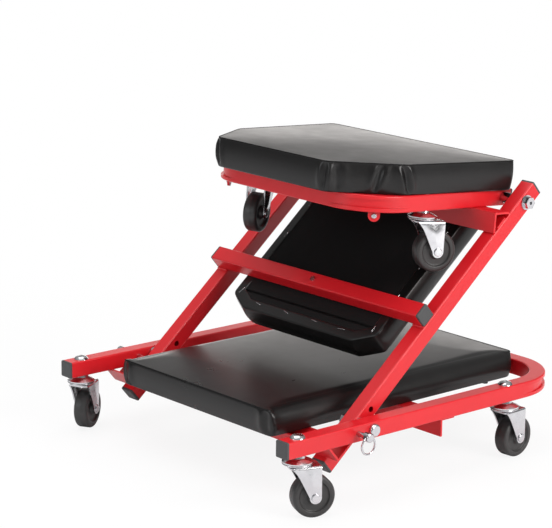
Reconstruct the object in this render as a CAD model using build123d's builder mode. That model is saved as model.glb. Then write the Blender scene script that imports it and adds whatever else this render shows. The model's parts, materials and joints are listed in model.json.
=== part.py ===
"""Folding creeper seat: a wheeled lower frame, a hinged middle frame and a hinged head frame.

The rest pose is the seat. The middle frame leans up from the lower hinges and the head frame lies
over it as the seat. Unfolded, the three frames lie end to end on six swivel casters.
Millimetres. +X runs from the open rail ends to the rear bend, +Y is the left side, +Z is up.
"""
import os
from math import cos, radians, sin, sqrt

from build123d import *

# frame sizes
tube = 20.0                 # outside of every square tube
wall = 1.5
tube_round = 1.8            # outside corners of the square tubes
rail_length = 462.0         # open rail end to the outside of the rear bend
frame_width = 428.0
lower_bend_radius = 78.0    # outside of the bend
ride_height = 73.5          # floor to the underside of the rails
seat_angle = 40.3           # middle frame above the floor, in the seat pose
seat_tilt = 4.3             # head frame, front edge raised, in the seat pose
hinge_setback = 127.5       # open rail end to the lower hinge
hinge_span = 350.0          # lower hinge to head hinge
tail_length = 62.0          # side tube beyond the lower hinge
tip_length = 22.0           # side tube beyond the head hinge
rail_gap = 4.0              # washer gap between rail and side tube
head_gap = 17.0             # spacer gap between side tube and head rail
head_length = 226.0         # head hinge to the outside of the front bend
head_tip = 12.0             # head rail behind the head hinge
head_bend_radius = 64.0
groove_depth = 3.0          # crease pressed into the outside of each bend
groove_ridge = 5.0
plug_flange = 3.0
plug_depth = 7.0
plug_round = 1.5
bore_gap = 0.05             # radial clearance of every running fit
seat_gap = 0.3              # gap between a moving piece and its stop

# worked out from the sizes
half_tube = tube / 2
rail_y = frame_width / 2 - half_tube
side_y = rail_y - tube - rail_gap
head_y = side_y - tube - head_gap
side_face = side_y + half_tube
rear_x = (rail_length + plug_flange) / 2
front_x = rear_x - rail_length
axis_height = ride_height + half_tube
hinge_x = front_x + hinge_setback
lean = radians(seat_angle)
tilt = radians(seat_tilt)
head_x = hinge_x + hinge_span * cos(lean)
head_z = axis_height + hinge_span * sin(lean)

# Each frame is drawn in its own plane: x along its tubes, y across, z square to the frame.
rail_plane = Plane(origin=(front_x, 0, axis_height))
side_plane = Plane(origin=(hinge_x, 0, axis_height), x_dir=(cos(lean), 0, sin(lean)),
                   z_dir=(-sin(lean), 0, cos(lean)))
head_plane = Plane(origin=(head_x, 0, head_z), x_dir=(cos(tilt), 0, -sin(tilt)),
                   z_dir=(sin(tilt), 0, cos(tilt)))

# fasteners and pins
bolt_radius = 4.0
bolt_head_radius = 7.5
bolt_head_height = 5.0
nut_flats = 13.0
nut_height = 6.0
washer_radius = 9.0
washer_height = 1.5
spacer_radius = 7.0
lock_offset = 23.5          # lower hinge to the lock pin, and to its hole in the side tube
lock_radius = 3.5
lock_reach = 8.0            # pin inside the side tube when it is pushed home
lock_head_radius = 5.5
lock_head_length = 9.0
ring_radius = 10.0
ring_wire = 1.2
ring_hole_radius = 3.1

# stops, tabs and pad supports
angle_wall = 2.5
stop_leg = 29.0             # rear leg of the lower stop angle, along the side tubes
stop_inset = 4.0            # stop angle ends, in from the outside of the rails
head_stop_setback = 52.4    # head hinge to the front of the head stop angle
head_stop_width = 24.0
pad_angle_setback = 240.0   # open rail end to the angle under the lower pad
pad_angle_leg = 22.0
rear_tab_length = 34.0
rear_tab_width = 30.0
rear_tab_spread = 80.0
tab_thickness = 3.0
cross_place = 151.0         # lower hinge to the cross tube
strap_place = 305.0         # lower hinge to the strap under the middle pad's far end
strap_width = 16.0
screw_radius = 3.2
screw_height = 2.2
bend_tab_angle = 52.0       # round the head frame's bend, from its nose
bend_tab_radius = 7.0
bend_tab_drop = 5.0         # underside of the bend to the middle of the tab's round end

# cushions
pad_thickness = 34.0
pad_crown = 2.5             # rise of the crown over the pad's longer half
board_thickness = 9.0
board_inset = 3.0
pad_round = 16.0            # corners in plan
pad_edge = 6.0              # rolled top edge
pad_tuck = 4.0              # drawn-in lower edge
lower_pad_front = 36.0      # from the open rail ends
lower_pad_back = 3.0        # rear bend to the lower pad
lower_pad_rear = rail_length - tube - lower_pad_back
lower_pad_half = 141.0
middle_pad_low = 94.0       # from the lower hinge
middle_pad_high = 333.0
middle_pad_half = 134.0
pad_cut_length = 18.0       # corners cut off beside the lower hinge
pad_cut_width = 34.0
head_pad_rear = 2.0
head_pad_front = -244.0
head_pad_half = 161.0
head_pad_shoulder = -167.0
head_pad_shoulder_half = 148.0
head_pad_nose_half = 88.0
head_pad_thickness = 39.0
foot_radius = 4.0
foot_height = 5.0
foot_place = 364.0
foot_inset = 14.0

# casters
stem_radius = 4.0
dome_radius = 9.0
dome_height = 4.0
dome_flat = 2.0
dome_shares = (0.78, 0.62)   # half way round the dome: out, up
front_caster = 21.0         # open rail end to the front stems
rear_caster_setback = 108.0   # outside of the rear bend to the rear stems
rear_caster = rail_length - rear_caster_setback
head_caster = -127.0        # head hinge to the head frame's stems
hub_radius = 8.5
hub_drop = 2.5
race_radius = 17.5
race_drop = 6.5
race_base = 8.0
fork_race_drop = 3.2
fork_half = 13.0
fork_wall = 1.8
fork_nose = 10.0
fork_tail = 24.0
fork_eye = 6.0
wheel_trail = 18.0
wheel_radius = 25.0
wheel_half = 9.0
tyre_round = 3.0
tyre_depth = 6.5
web_recess = 2.2
hub_half = 10.4
wheel_hub_radius = 8.0
axle_radius = 3.0
rivet_radius = 5.0
rivet_height = 1.8
king_rivet_radius = 6.5
king_rivet_height = 2.0
overrun = 5.0

os.makedirs("parts", exist_ok=True)


def save(part, name):
    """Label a part and write its STEP file."""
    part.label = name
    export_step(part, f"parts/{name}.step")


def u_outline(plane, length, half_width, radius, inset, facing):
    """Draw a closed U outline: a slab with two rounded far corners, from x = 0 to its bend.

    Args:
        plane: Plane whose x axis runs along the legs from their open ends.
        length: Open ends to the outside of the bend.
        half_width: Outside of the legs.
        radius: Outside radius of the bend.
        inset: How far inside the outer outline this one lies.
        facing: 1 where the bend lies along +x, -1 where it lies along -x.
    """
    reach = length - inset
    half = half_width - inset
    corner = radius - inset
    with BuildSketch(plane) as outline:
        with BuildLine():
            Polyline((0, -half), (facing * (reach - corner), -half))
            TangentArc((facing * (reach - corner), -half), (facing * reach, corner - half),
                       tangent=(facing, 0))
            Line((facing * reach, corner - half), (facing * reach, half - corner))
            TangentArc((facing * reach, half - corner), (facing * (reach - corner), half),
                       tangent=(0, 1))
            Polyline((facing * (reach - corner), half), (0, half), (0, -half))
        make_face()
    return outline.sketch


def bent_frame(plane, length, half_width, radius, facing):
    """Build a hollow U of square tube with a crease pressed into the outside of its bends."""
    low = plane.offset(-half_tube)
    with BuildPart() as frame:
        extrude(u_outline(low, length, half_width, radius, 0, facing), amount=tube)
        extrude(u_outline(low, length, half_width, radius, tube, facing), amount=tube,
                mode=Mode.SUBTRACT)
        levels = frame.faces().sort_by(Axis(plane.origin, plane.z_dir))
        corners = [edge for face in (levels[0], levels[-1]) for edge in face.edges()
                   if abs(plane.to_local_coords(edge.center()).X) > wall]
        fillet(corners, radius=tube_round)
        with BuildSketch(plane.offset(groove_ridge - half_tube)):
            add(u_outline(Plane.XY, length, half_width, radius, 0, facing))
            add(u_outline(Plane.XY, length, half_width,
                          radius + groove_depth / (sqrt(2) - 1), 0, facing), mode=Mode.SUBTRACT)
        extrude(amount=tube - 2 * groove_ridge, mode=Mode.SUBTRACT)
        for side in (-1, 1):
            straight = length - radius
            leg = Plane(plane.from_local_coords((facing * straight / 2, side * (half_width - half_tube), 0)),
                        x_dir=plane.x_dir, z_dir=plane.z_dir)
            with Locations(leg):
                Box(straight, tube - 2 * wall, tube - 2 * wall, mode=Mode.SUBTRACT)
        inner = groove_depth + wall
        with BuildSketch(plane.offset(wall - half_tube)):
            add(u_outline(Plane.XY, length, half_width, radius, inner, facing))
            add(u_outline(Plane.XY, length, half_width, radius, tube - wall, facing), mode=Mode.SUBTRACT)
            with Locations((facing * (length - radius) / 2, 0)):
                Rectangle(length - radius, 2 * half_width, mode=Mode.SUBTRACT)
        extrude(amount=tube - 2 * wall, mode=Mode.SUBTRACT)
    return frame.part


def across(plane, place):
    """Return the plane on a frame's centreline at a place along it, looking along +Y."""
    return Plane(plane.from_local_coords((place, 0, 0)), x_dir=plane.x_dir, z_dir=(0, 1, 0))


def plug_set(ends):
    """Build push-in end plugs, one on each plane, whose z axis points out of its tube."""
    with BuildPart() as plugs:
        for end in ends:
            with BuildSketch(end):
                RectangleRounded(tube, tube, tube_round)
            flange = extrude(amount=plug_flange)
            rim = flange.faces().sort_by(Axis(end.origin, end.z_dir))[-1].edges()
            fillet(rim, radius=plug_round)
            with BuildSketch(end):
                Rectangle(tube - 2 * wall, tube - 2 * wall)
            extrude(amount=-plug_depth)
    return plugs.part


def cushion_pair(plane, outline, centre, reach, thickness):
    """Build a crowned cushion and the board let into its underside.

    Args:
        plane: Plane of the cushion's underside, z out of the padded face.
        outline: Function that draws the plan outline, shrunk by its argument.
        centre: Middle of the pad along the plane's x axis.
        reach: Half of the pad's longer side, over which the crown falls.
        thickness: Height at the crown.
    """
    crown = (reach ** 2 + pad_crown ** 2) / (2 * pad_crown)
    up = Axis(plane.origin, plane.z_dir)
    board_plan = outline(board_inset)
    cover_plan = outline(0)
    with BuildPart() as board:
        with BuildSketch(plane):
            add(board_plan)
        extrude(amount=board_thickness)
    with BuildPart() as cushion:
        with BuildSketch(plane):
            add(cover_plan)
        extrude(amount=thickness)
        with Locations(plane.from_local_coords((centre, 0, thickness - crown))):
            Sphere(crown, mode=Mode.INTERSECT)
        fillet(cushion.faces().sort_by(up)[-1].edges(), radius=pad_edge)
        fillet(cushion.faces().sort_by(up)[0].edges(), radius=pad_tuck)
        with BuildSketch(plane):
            add(board_plan)
        extrude(amount=board_thickness, mode=Mode.SUBTRACT)
    return cushion.part, board.part


# lower frame
low_frame = bent_frame(rail_plane, rail_length, frame_width / 2, lower_bend_radius, 1)
with BuildPart() as lower_rail_frame:
    add(low_frame)
    with Locations(rail_plane):
        with Locations(*[(x, y, 0) for x in (front_caster, rear_caster) for y in (-rail_y, rail_y)]):
            Cylinder(stem_radius, tube + overrun, mode=Mode.SUBTRACT)
    with Locations(across(rail_plane, hinge_setback)):
        Cylinder(bolt_radius, frame_width + overrun, mode=Mode.SUBTRACT)
    with Locations(across(rail_plane, hinge_setback - lock_offset)):
        Cylinder(lock_radius + bore_gap, frame_width + overrun, mode=Mode.SUBTRACT)
save(lower_rail_frame.part, "lower_rail_frame")

save(plug_set([Plane((front_x, y, axis_height), x_dir=(0, 1, 0), z_dir=(-1, 0, 0))
               for y in (-rail_y, rail_y)]),
     "lower_rail_plugs")

# The stop angle's rear leg lies along the side tubes in the seat pose, and both of its edges
# carry them when the creeper is unfolded.
stop_face = half_tube + seat_gap
stop_foot = (-half_tube - stop_face * cos(lean)) / sin(lean) - stop_leg


def stop_edge(place=None, level=None):
    """Return the point where a leg of the stop angle meets the underside of the rails."""
    if place is None:
        return ((-half_tube - level * cos(lean)) / sin(lean), level)
    return (place, (-half_tube - place * sin(lean)) / cos(lean))


with BuildPart() as lower_stop_angle:
    with BuildSketch(Plane(side_plane.origin, x_dir=side_plane.x_dir, z_dir=(0, -1, 0))):
        with BuildLine():
            Polyline(stop_edge(level=stop_face), (stop_foot, stop_face), stop_edge(place=stop_foot),
                     stop_edge(place=stop_foot + angle_wall),
                     (stop_foot + angle_wall, stop_face + angle_wall),
                     stop_edge(level=stop_face + angle_wall), close=True)
        make_face()
    extrude(amount=frame_width / 2 - stop_inset, both=True)
save(lower_stop_angle.part, "lower_stop_angle")

under_rails = Plane((front_x, 0, ride_height), x_dir=(1, 0, 0), z_dir=(0, -1, 0))
with BuildPart() as lower_pad_angle:
    with BuildSketch(under_rails):
        with BuildLine():
            Polyline((pad_angle_setback, 0), (pad_angle_setback, -pad_angle_leg),
                     (pad_angle_setback + angle_wall, -pad_angle_leg),
                     (pad_angle_setback + angle_wall, -angle_wall),
                     (pad_angle_setback + pad_angle_leg, -angle_wall), (pad_angle_setback + pad_angle_leg, 0),
                     close=True)
        make_face()
    extrude(amount=frame_width / 2 - stop_inset, both=True)
save(lower_pad_angle.part, "lower_pad_angle")

with BuildPart() as lower_rear_tabs:
    with BuildSketch(Plane((rear_x - half_tube, 0, ride_height))):
        for y in (-rear_tab_spread, rear_tab_spread):
            with Locations((-rear_tab_length / 2, y)):
                Rectangle(rear_tab_length, rear_tab_width)
    extrude(amount=-tab_thickness)
save(lower_rear_tabs.part, "lower_rear_tabs")


def lower_outline(inset):
    """Draw the lower pad's plan outline."""
    with BuildSketch(Plane.XY) as plan:
        with Locations(((lower_pad_front + lower_pad_rear) / 2, 0)):
            RectangleRounded(lower_pad_rear - lower_pad_front - 2 * inset, 2 * (lower_pad_half - inset),
                             pad_round - inset)
    return plan.sketch


lower_pad_plane = Plane((front_x, 0, ride_height))
lower_cushion, lower_pad_board = cushion_pair(
    lower_pad_plane, lower_outline, (lower_pad_front + lower_pad_rear) / 2,
    (lower_pad_rear - lower_pad_front) / 2, pad_thickness)
save(lower_cushion, "lower_cushion")
save(lower_pad_board, "lower_pad_board")

with BuildPart() as lower_pad_feet:
    with BuildSketch(lower_pad_plane):
        with Locations(*[(lower_pad_front + foot_place, y * (lower_pad_half - foot_inset)) for y in (-1, 1)]):
            Circle(foot_radius)
    extrude(amount=-foot_height, taper=foot_radius)
save(lower_pad_feet.part, "lower_pad_feet")


def hinge_bolts(plane, place, head_at, head_height, runs, nut_at, nut_side):
    """Build a pair of cross bolts, one on each side of the creeper.

    Args:
        plane: The frame's own plane.
        place: Place of the bolts along the frame.
        head_at: Distance out from the centre of the head's seat.
        head_height: Height of the domed head, negative where it points inwards.
        runs: Distances out of spacers and washers, as (inner, outer, radius).
        nut_at: Distance out of the nut's seat.
        nut_side: 1 where the nut points outwards, -1 where it points inwards.
    """
    with BuildPart() as bolts:
        for side in (-1, 1):
            seat = across(plane, place)
            if side < 0:
                seat = Plane(seat.origin, x_dir=seat.x_dir, z_dir=(0, -1, 0))
            with BuildSketch(seat.offset(min(head_at, nut_at))):
                Circle(bolt_radius)
            extrude(amount=abs(head_at - nut_at))
            with BuildSketch(seat.offset(head_at)):
                Circle(bolt_head_radius)
            head = extrude(amount=head_height)
            outer = head.faces().sort_by(Axis(seat.origin, seat.z_dir))
            fillet(outer[-1 if head_height > 0 else 0].edges(), radius=abs(head_height) / 2)
            with BuildSketch(seat.offset(nut_at)):
                RegularPolygon(nut_flats / 2, 6, major_radius=False)
                Circle(bolt_radius / 2, mode=Mode.SUBTRACT)
            extrude(amount=nut_side * nut_height)
            for inner, outer_end, radius in runs:
                with BuildSketch(seat.offset(inner)):
                    Circle(radius)
                extrude(amount=outer_end - inner)
    return bolts.part


save(hinge_bolts(rail_plane, hinge_setback, frame_width / 2, bolt_head_height,
                 [(side_face + seat_gap, side_face + rail_gap, washer_radius)],
                 side_face - tube - seat_gap, -1), "lower_hinge_bolts")

# middle frame
tube_middle = (hinge_span + tip_length - tail_length) / 2
with BuildPart(side_plane) as middle_side_tubes:
    with Locations(*[(tube_middle, y, 0) for y in (-side_y, side_y)]):
        Box(hinge_span + tip_length + tail_length, tube, tube)
    fillet(middle_side_tubes.edges().filter_by(Axis(side_plane.origin, side_plane.x_dir)), radius=tube_round)
    with Locations(*[(tube_middle, y, 0) for y in (-side_y, side_y)]):
        Box(hinge_span + tip_length + tail_length, tube - 2 * wall, tube - 2 * wall, mode=Mode.SUBTRACT)
    for place, radius in ((0, bolt_radius + bore_gap), (hinge_span, bolt_radius),
                          (lock_offset, lock_radius + bore_gap)):
        with Locations(Location(side_plane).inverse() * Location(across(side_plane, place))):
            Cylinder(radius, frame_width, mode=Mode.SUBTRACT)
save(middle_side_tubes.part, "middle_side_tubes")

tube_ends = [Plane(side_plane.from_local_coords((place, y, 0)), x_dir=(0, 1, 0),
                   z_dir=side_plane.x_dir * way)
             for place, way in ((-tail_length, -1), (hinge_span + tip_length, 1)) for y in (-side_y, side_y)]
save(plug_set(tube_ends), "middle_tube_plugs")

cross_half = side_face - plug_flange
with BuildPart(side_plane) as middle_cross_tube:
    with Locations((cross_place, 0, tube)):
        Box(tube, 2 * cross_half, tube)
    fillet(middle_cross_tube.edges().filter_by(Axis.Y), radius=tube_round)
    with Locations((cross_place, 0, tube)):
        Box(tube - 2 * wall, 2 * cross_half, tube - 2 * wall, mode=Mode.SUBTRACT)
save(middle_cross_tube.part, "middle_cross_tube")
save(plug_set([Plane(side_plane.from_local_coords((cross_place, y * cross_half, tube)),
                     x_dir=side_plane.x_dir, z_dir=(0, y, 0)) for y in (-1, 1)]), "middle_cross_plugs")

with BuildPart(side_plane) as middle_pad_strap:
    with Locations((strap_place, 0, half_tube + tab_thickness / 2)):
        Box(strap_width, 2 * side_face, tab_thickness)
save(middle_pad_strap.part, "middle_pad_strap")

with BuildPart(side_plane) as middle_pad_screws:
    with Locations((cross_place, 0, tube + half_tube)):
        Cylinder(screw_radius, screw_height, align=(Align.CENTER, Align.CENTER, Align.MIN))
save(middle_pad_screws.part, "middle_pad_screws")


def middle_outline(inset):
    """Draw the middle pad's plan outline, with its two corners cut beside the lower hinge."""
    low = middle_pad_low + inset
    high = middle_pad_high - inset
    half = middle_pad_half - inset
    with BuildSketch(Plane.XY) as plan:
        with BuildLine():
            FilletPolyline((low, pad_cut_width - half), (low + pad_cut_length, -half), (high, -half),
                           (high, half), (low + pad_cut_length, half), (low, half - pad_cut_width),
                           radius=pad_round - inset, close=True)
        make_face()
    return plan.sketch


middle_pad_plane = Plane(side_plane.from_local_coords((0, 0, half_tube)), x_dir=side_plane.x_dir,
                         z_dir=-side_plane.z_dir)
middle_cushion, middle_pad_board = cushion_pair(
    middle_pad_plane, middle_outline, (middle_pad_low + middle_pad_high) / 2, middle_pad_half, pad_thickness)
save(middle_cushion, "middle_cushion")
save(middle_pad_board, "middle_pad_board")

save(hinge_bolts(head_plane, 0, head_y - half_tube - seat_gap, -bolt_head_height,
                 [(head_y + half_tube + seat_gap, side_face - tube, spacer_radius),
                  (side_face, side_face + washer_height, washer_radius)],
                 side_face + washer_height, 1), "head_hinge_bolts")

# head frame
tail_plane = Plane(head_plane.from_local_coords((head_tip, 0, 0)), x_dir=head_plane.x_dir,
                   z_dir=head_plane.z_dir)
with BuildPart() as head_rail_frame:
    add(bent_frame(tail_plane, head_length + head_tip, head_y + half_tube, head_bend_radius, -1))
    with Locations(head_plane):
        with Locations((head_caster, -head_y, 0), (head_caster, head_y, 0)):
            Cylinder(stem_radius, tube + overrun, mode=Mode.SUBTRACT)
    with Locations(across(head_plane, 0)):
        Cylinder(bolt_radius + bore_gap, frame_width, mode=Mode.SUBTRACT)
save(head_rail_frame.part, "head_rail_frame")
save(plug_set([Plane(tail_plane.from_local_coords((0, y, 0)), x_dir=(0, 1, 0), z_dir=head_plane.x_dir)
               for y in (-head_y, head_y)]), "head_rail_plugs")

# The head stop angle rests on the side tubes: its lower edge in the seat pose, its flat leg unfolded.
head_section = Plane(head_plane.from_local_coords((-head_stop_setback, 0, -half_tube)),
                     x_dir=head_plane.x_dir, z_dir=(0, -1, 0))
head_turn = radians(180 - seat_angle - seat_tilt)
rear_corner = head_stop_setback - angle_wall
head_stop_leg = (rear_corner * sin(head_turn) - stop_face) / -cos(head_turn) - half_tube
with BuildPart() as head_stop_angle:
    with BuildSketch(head_section):
        with BuildLine():
            Polyline((0, 0), (0, -head_stop_leg), (angle_wall, -head_stop_leg), (angle_wall, -angle_wall),
                     (head_stop_width, -angle_wall), (head_stop_width, 0), close=True)
        make_face()
    extrude(amount=side_face, both=True)
save(head_stop_angle.part, "head_stop_angle")
print("head stop leg", head_stop_leg)

# Half-round tabs hang under the head frame's bends, each with a screw through it.
bend_centre = (head_bend_radius - head_length, head_y + half_tube - head_bend_radius)
tab_reach = head_bend_radius - half_tube
tab_turn = radians(bend_tab_angle)
with BuildPart() as head_bend_tabs:
    for side in (-1, 1):
        out = head_plane.y_dir * (side * sin(tab_turn)) - head_plane.x_dir * cos(tab_turn)
        foot = head_plane.from_local_coords((bend_centre[0], side * bend_centre[1], -half_tube))
        with BuildSketch(Plane(foot + out * tab_reach, x_dir=head_plane.z_dir, z_dir=out)) as tab:
            with Locations((-bend_tab_drop, 0)):
                Circle(bend_tab_radius)
            Rectangle(bend_tab_drop, 2 * bend_tab_radius, align=(Align.MAX, Align.CENTER))
            Rectangle(bend_tab_drop, 3 * bend_tab_radius, align=(Align.MIN, Align.CENTER),
                      mode=Mode.SUBTRACT)
        extrude(amount=tab_thickness / 2, both=True)
save(head_bend_tabs.part, "head_bend_tabs")
with BuildPart() as head_tab_screws:
    for side in (-1, 1):
        out = head_plane.y_dir * (side * sin(tab_turn)) - head_plane.x_dir * cos(tab_turn)
        foot = head_plane.from_local_coords((bend_centre[0], side * bend_centre[1],
                                             -half_tube - bend_tab_drop))
        with BuildSketch(Plane(foot + out * (tab_reach + tab_thickness / 2), x_dir=head_plane.z_dir,
                               z_dir=out)):
            Circle(screw_radius)
        screw = extrude(amount=screw_height)
        fillet(screw.faces().sort_by(Axis(foot, out))[-1].edges(), radius=screw_height / 2)
save(head_tab_screws.part, "head_tab_screws")


def head_outline(inset):
    """Draw the head pad's plan outline: full width at the hinge, tapering to its nose."""
    rear = head_pad_rear - inset
    front = head_pad_front + inset
    with BuildSketch(Plane.XY) as plan:
        with BuildLine():
            FilletPolyline((rear, head_pad_half - inset),
                           (head_pad_shoulder, head_pad_shoulder_half - inset),
                           (front, head_pad_nose_half - inset), (front, inset - head_pad_nose_half),
                           (head_pad_shoulder, inset - head_pad_shoulder_half), (rear, inset - head_pad_half),
                           radius=pad_round - inset, close=True)
        make_face()
    return plan.sketch


head_pad_plane = Plane(head_plane.from_local_coords((0, 0, half_tube)), x_dir=head_plane.x_dir,
                       z_dir=head_plane.z_dir)
head_cushion, head_pad_board = cushion_pair(
    head_pad_plane, head_outline, (head_pad_front + head_pad_rear) / 2, head_pad_half, head_pad_thickness)
for name, piece in (("head_cushion", head_cushion), ("head_pad_board", head_pad_board)):
    with BuildPart() as relieved:
        add(piece)
        with Locations(head_pad_plane):
            with Locations((head_caster, -head_y, 0), (head_caster, head_y, 0)):
                Cylinder(dome_radius + seat_gap, 2 * (dome_height + seat_gap), mode=Mode.SUBTRACT)
    save(relieved.part, name)

# lock pins and their rings
lock_face = frame_width / 2 + rail_gap + lock_reach + seat_gap
for name, side in (("right", -1), ("left", 1)):
    axis = across(rail_plane, hinge_setback - lock_offset)
    axis = Plane(axis.origin, x_dir=(1, 0, 0), z_dir=(0, side, 0))
    eye = lock_face + lock_head_length / 2
    with BuildPart() as lock_pin:
        with BuildSketch(axis.offset(side_face + seat_gap)):
            Circle(lock_radius)
        shank = extrude(amount=lock_face - side_face - seat_gap)
        with BuildSketch(axis.offset(lock_face)):
            Circle(lock_head_radius)
        head = extrude(amount=lock_head_length)
        fillet(head.faces().sort_by(Axis(axis.origin, axis.z_dir))[-1].edges(), radius=lock_head_radius / 3)
        with Locations(Plane(axis.offset(eye).origin, x_dir=(0, 1, 0), z_dir=(1, 0, 0))):
            Cylinder(ring_hole_radius, 3 * lock_head_radius, mode=Mode.SUBTRACT)
    save(lock_pin.part, f"lock_pin_{name}")
    hook = axis.offset(eye).origin
    with BuildPart() as lock_ring:
        with BuildLine(Plane(hook - (0, 0, ring_radius), x_dir=(1, 0, 0), z_dir=(0, -1, 0))):
            loop = CenterArc((0, 0), ring_radius, 90, 360)
        with BuildSketch(Plane(loop @ 0, z_dir=loop % 0)):
            Circle(ring_wire)
        sweep()
    save(lock_ring.part, f"lock_ring_{name}")

# casters
caster_places = {
    "front_right": (rail_plane, front_caster, -rail_y, -22),
    "front_left": (rail_plane, front_caster, rail_y, 31),
    "rear_right": (rail_plane, rear_caster, -rail_y, 3),
    "rear_left": (rail_plane, rear_caster, rail_y, 40),
    "head_right": (head_plane, head_caster, -head_y, -20),
    "head_left": (head_plane, head_caster, head_y, -155),
}
axle_drop = ride_height - wheel_radius
fork_top = race_base + seat_gap + fork_race_drop


def caster(plane, name):
    """Build one swivel caster: its fixed mount, its fork with the axle, and its wheel.

    Args:
        plane: Plane on the underside of the rail, x along the trail and z up the stem.
        name: Ending of the piece names.
    """
    with BuildPart(plane) as mount:
        with BuildSketch(Plane(plane.origin, x_dir=plane.x_dir, z_dir=-plane.y_dir)):
            with BuildLine():
                Polyline((0, tube + dome_height), (0, king_foot), (king_rivet_radius, king_foot),
                         (king_rivet_radius, king_foot + king_rivet_height),
                         (stem_radius, king_foot + king_rivet_height), (stem_radius, -race_base),
                         (race_radius, -race_base), (race_radius, -race_drop), (dome_radius, -hub_drop),
                         (hub_radius, 0), (stem_radius, 0), (stem_radius, tube),
                         (dome_radius, tube))
                ThreePointArc((dome_radius, tube),
                              (dome_radius * dome_shares[0], tube + dome_height * dome_shares[1]),
                              (dome_flat, tube + dome_height))
                Line((dome_flat, tube + dome_height), (0, tube + dome_height))
            make_face()
        revolve(axis=Axis(plane.origin, plane.z_dir))
    save(mount.part, f"caster_mount_{name}")

    side = Plane(plane.origin, x_dir=plane.x_dir, z_dir=-plane.y_dir)
    with BuildPart(plane) as fork:
        with BuildSketch(side):
            with BuildLine():
                Polyline((-fork_nose, -fork_top), (fork_tail, -fork_top),
                         (wheel_trail + fork_eye, -axle_drop))
                ThreePointArc((wheel_trail + fork_eye, -axle_drop), (wheel_trail, -axle_drop - fork_eye),
                              (wheel_trail - fork_eye, -axle_drop))
                Polyline((wheel_trail - fork_eye, -axle_drop), (-fork_nose, -fork_top - 2 * fork_wall),
                         (-fork_nose, -fork_top))
            make_face()
        extrude(amount=fork_half, both=True)
        with BuildSketch(side):
            with Locations((0, -fork_top - fork_wall)):
                Rectangle(4 * fork_tail, ride_height, align=(Align.CENTER, Align.MAX))
        extrude(amount=fork_half - fork_wall, both=True, mode=Mode.SUBTRACT)
        with BuildSketch(plane.offset(-race_base - seat_gap)):
            Circle(race_radius)
        extrude(amount=-fork_race_drop, taper=fork_eye)
        with BuildSketch(plane):
            Circle(stem_radius + bore_gap)
        extrude(amount=-ride_height / 2, mode=Mode.SUBTRACT)
        with BuildSketch(side):
            with Locations((wheel_trail, -axle_drop)):
                Circle(axle_radius)
        extrude(amount=fork_half, both=True, mode=Mode.SUBTRACT)
    save(fork.part, f"caster_fork_{name}")

    with BuildPart(plane) as axle:
        with BuildSketch(side):
            with Locations((wheel_trail, -axle_drop)):
                Circle(axle_radius)
        extrude(amount=fork_half, both=True)
        for way in (-1, 1):
            with BuildSketch(side.offset(way * fork_half)):
                with Locations((wheel_trail, -axle_drop)):
                    Circle(rivet_radius)
            rivet = extrude(amount=way * rivet_height)
            fillet(rivet.faces().sort_by(Axis(side.origin, side.z_dir * way))[-1].edges(),
                   radius=rivet_height / 2)
    save(axle.part, f"caster_axle_{name}")

    with BuildPart(plane) as wheel:
        hub = Plane(plane.from_local_coords((wheel_trail, 0, -axle_drop)), x_dir=plane.z_dir,
                    z_dir=plane.x_dir)
        with BuildSketch(hub):
            with BuildLine():
                half = [(axle_radius + bore_gap, 0), (axle_radius + bore_gap, hub_half),
                        (wheel_hub_radius, hub_half), (wheel_hub_radius, wheel_half - web_recess),
                        (wheel_radius - tyre_depth, wheel_half - web_recess),
                        (wheel_radius - tyre_depth, wheel_half), (wheel_radius - tyre_round, wheel_half)]
                Polyline(*half)
                ThreePointArc(half[-1], (wheel_radius - tyre_round * (1 - sqrt(0.5)),
                                         wheel_half - tyre_round * (1 - sqrt(0.5))),
                              (wheel_radius, wheel_half - tyre_round))
                Polyline((wheel_radius, wheel_half - tyre_round), (wheel_radius, 0),
                         (axle_radius + bore_gap, 0))
            make_face()
            mirror(about=Plane.XZ)
        revolve(axis=Axis(hub.origin, hub.y_dir))
    save(wheel.part, f"caster_wheel_{name}")


king_foot = -fork_top - fork_wall - seat_gap - king_rivet_height
for name, (frame, place, y, turn) in caster_places.items():
    trail = frame.x_dir * cos(radians(turn)) + frame.y_dir * sin(radians(turn))
    under = Plane(frame.from_local_coords((place, y, -half_tube)), x_dir=trail, z_dir=frame.z_dir)
    caster(under, name)
    wheel_at = under.from_local_coords((wheel_trail, 0, -axle_drop))
    print("caster", name, [round(v / 1000, 6) for v in tuple(under.origin)],
          [round(v / 1000, 6) for v in tuple(wheel_at)], [round(v, 6) for v in tuple(under.y_dir)])
print("lower hinge", hinge_x, axis_height, "head hinge", head_x, head_z)
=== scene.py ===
"""Dress a folding creeper seat: padded vinyl over plywood on a red tube frame with swivel casters.

Lengths in the classes are millimetres in the plane of the frame that carries the piece. Each frame has
its own plane: x along its tubes, y to the left side, z square to the frame. Meshes are in metres in the
row's frame.
"""

import json
import logging
import math
from dataclasses import dataclass, field
from enum import Enum

import bpy
import numpy as np
from mathutils import Matrix, Vector


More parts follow.
